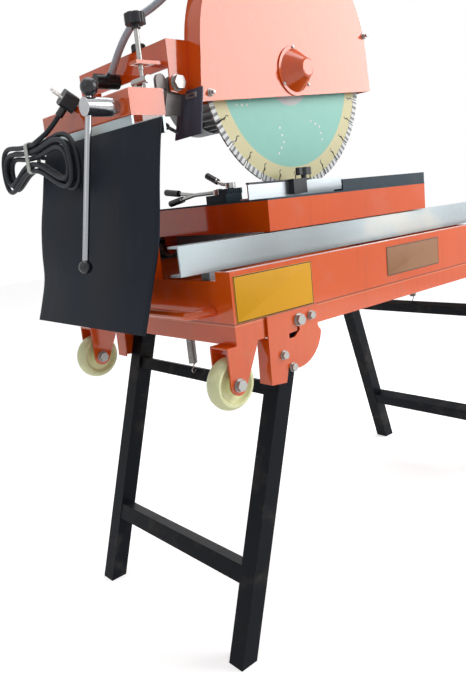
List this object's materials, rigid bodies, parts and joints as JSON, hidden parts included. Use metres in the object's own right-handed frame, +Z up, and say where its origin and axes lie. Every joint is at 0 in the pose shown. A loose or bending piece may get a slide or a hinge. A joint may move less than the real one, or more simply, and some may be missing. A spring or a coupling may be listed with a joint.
{
  "type": "masonry table saw",
  "caption": "Orange wet-cutting masonry table saw on folding legs, with a swing-arm blade guard, rolling cart and splash curtain.",
  "frame": {"origin": "on the floor under the middle of the part's length and width", "axes": "+X forward along the rails to the operator's end, +Y to the far side from the blade's cover, +Z up"},
  "size_m": [1.0711, 0.5499, 1.177],
  "materials": {
    "orange_paint": "gloss",
    "slate_rubber": "satin",
    "black_rubber": "matte",
    "galvanised": "satin",
    "black_paint": "satin",
    "zinc": "satin",
    "chrome": "polished",
    "nylon": "satin",
    "black_plastic": "satin",
    "blade_paint": "satin",
    "segment": "rough",
    "motor_grey": "satin",
    "hose": "satin",
    "slate_paint": "satin",
    "green_plastic": "gloss",
    "red_plastic": "gloss"
  },
  "bodies": {
    "base": {"tray": "orange_paint", "water_pan": "slate_paint", "rail_near": "galvanised", "rail_far": "galvanised", "uprights": "orange_paint", "head_beam": "orange_paint", "curtain_bar": "zinc", "curtain": "slate_rubber", "carry_handle": "orange_paint", "wheel_forks": "orange_paint", "wheel_axles": "zinc", "leg_brackets": "orange_paint", "leg_bolts": "zinc", "springs": "zinc", "pivot_brackets": "zinc", "pivot_bolts": "zinc", "depth_rod": "zinc", "switch_box": "black_plastic", "cord_gland": "black_plastic", "cord_lead": "black_rubber", "cord_hank": "black_rubber", "cord_tail": "black_rubber", "cord_tie": "black_plastic", "plug": "black_plastic"},
    "rear_legs": {"rear_leg_frame": "black_paint"},
    "front_legs": {"front_leg_frame": "black_paint"},
    "wheel_near": {"wheel_near": "nylon"},
    "wheel_far": {"wheel_far": "nylon"},
    "lock_hub": {"lock_hub": "chrome"},
    "lock_bar": {"lock_bar": "chrome"},
    "depth_knob": {"depth_knob": "black_plastic"},
    "head": {"swing_arm": "orange_paint", "guard_shell": "orange_paint", "guard_front": "orange_paint", "guard_cone": "orange_paint", "splash_flap": "black_rubber", "motor": "motor_grey", "valve_body": "zinc", "water_hose": "hose", "water_nozzle": "zinc", "arm_cap": "black_plastic"},
    "valve_knob": {"valve_knob": "black_plastic"},
    "spindle": {"blade_core": "blade_paint", "blade_segments": "segment", "arbor": "zinc"},
    "cart": {"cart_frame": "orange_paint", "deck_plates": "orange_paint", "deck_mat": "slate_rubber", "upstand": "slate_paint", "clamp_block": "slate_paint", "roller_brackets": "orange_paint"},
    "fence": {"fence": "zinc", "fence_stop": "black_plastic"},
    "fence_knob": {"fence_knob": "black_plastic"},
    "clamp_lever": {"clamp_lever": "zinc"},
    "short_lever": {"short_lever": "zinc"},
    "roller_axle_rear": {"roller_axle_rear": "zinc"},
    "roller_axle_front": {"roller_axle_front": "zinc"},
    "start_button": {"start_button": "green_plastic"},
    "stop_button": {"stop_button": "red_plastic"}
  },
  "joints": [
    {"name": "rear_leg_fold", "type": "hinge", "parent": "base", "child": "rear_legs", "pos_m": [-0.2719, 0, 0.541], "axis": [0, -1, 0], "range_deg": [0, 107]},
    {"name": "front_leg_fold", "type": "hinge", "parent": "base", "child": "front_legs", "pos_m": [0.3481, 0, 0.541], "axis": [0, 1, 0], "range_deg": [0, 65]},
    {"name": "wheel_near_spin", "type": "hinge", "parent": "base", "child": "wheel_near", "pos_m": [-0.4059, -0.198, 0.467], "axis": [0, 1, 0], "continuous": true},
    {"name": "wheel_far_spin", "type": "hinge", "parent": "base", "child": "wheel_far", "pos_m": [-0.4059, 0.198, 0.467], "axis": [0, 1, 0], "continuous": true},
    {"name": "lock_turn", "type": "hinge", "parent": "base", "child": "lock_hub", "pos_m": [-0.4599, -0.028, 0.892], "axis": [1, 0, 0], "range_deg": [-40, 40]},
    {"name": "lock_bar_slide", "type": "slide", "parent": "lock_hub", "child": "lock_bar", "axis": [0.1908, 0, 0.9816], "range_m": [0, 0.2]},
    {"name": "depth_knob_turn", "type": "hinge", "parent": "base", "child": "depth_knob", "pos_m": [-0.3909, -0.048, 1.008], "axis": [0, 0, 1], "continuous": true},
    {"name": "head_pivot", "type": "hinge", "parent": "base", "child": "head", "pos_m": [-0.3399, 0.068, 0.923], "axis": [0, 1, 0], "range_deg": [-12, 2.8]},
    {"name": "valve_turn", "type": "hinge", "parent": "head", "child": "valve_knob", "pos_m": [-0.3889, 0.079, 0.952], "axis": [1, 0, 0], "range_deg": [0, 90]},
    {"name": "blade_spin", "type": "hinge", "parent": "head", "child": "spindle", "pos_m": [-0.0989, -0.08, 0.946], "axis": [0, 1, 0], "continuous": true},
    {"name": "cart_slide", "type": "slide", "parent": "base", "child": "cart", "axis": [1, 0, 0], "range_m": [-0.06, 0.25]},
    {"name": "rear_rollers", "type": "hinge", "parent": "cart", "child": "roller_axle_rear", "pos_m": [-0.2349, 0, 0.6553], "axis": [0, 1, 0], "continuous": true},
    {"name": "front_rollers", "type": "hinge", "parent": "cart", "child": "roller_axle_front", "pos_m": [0.1361, 0, 0.6553], "axis": [0, 1, 0], "continuous": true},
    {"name": "fence_set", "type": "slide", "parent": "cart", "child": "fence", "axis": [0, 1, 0], "range_m": [-0.015, 0.014]},
    {"name": "fence_knob_turn", "type": "hinge", "parent": "fence", "child": "fence_knob", "pos_m": [-0.1189, -0.12, 0.771], "axis": [0, 0, 1], "continuous": true},
    {"name": "clamp_turn", "type": "hinge", "parent": "cart", "child": "clamp_lever", "pos_m": [-0.2449, -0.032, 0.752], "axis": [0, 0, 1], "range_deg": [-20, 20]},
    {"name": "short_lever_turn", "type": "hinge", "parent": "cart", "child": "short_lever", "pos_m": [-0.2369, -0.054, 0.762], "axis": [0, 0, 1], "range_deg": [-30, 10]},
    {"name": "start_press", "type": "slide", "parent": "base", "child": "start_button", "axis": [-1, 0, 0], "range_m": [0, 0.003], "stiffness_N_per_m": 400},
    {"name": "stop_press", "type": "slide", "parent": "base", "child": "stop_button", "axis": [-1, 0, 0], "range_m": [0, 0.003], "stiffness_N_per_m": 400}
  ],
  "couplings": [
    {"joint": "rear_rollers", "follows": "cart_slide", "rad_per_m": 58.824},
    {"joint": "front_rollers", "follows": "cart_slide", "rad_per_m": 58.824}
  ]
}
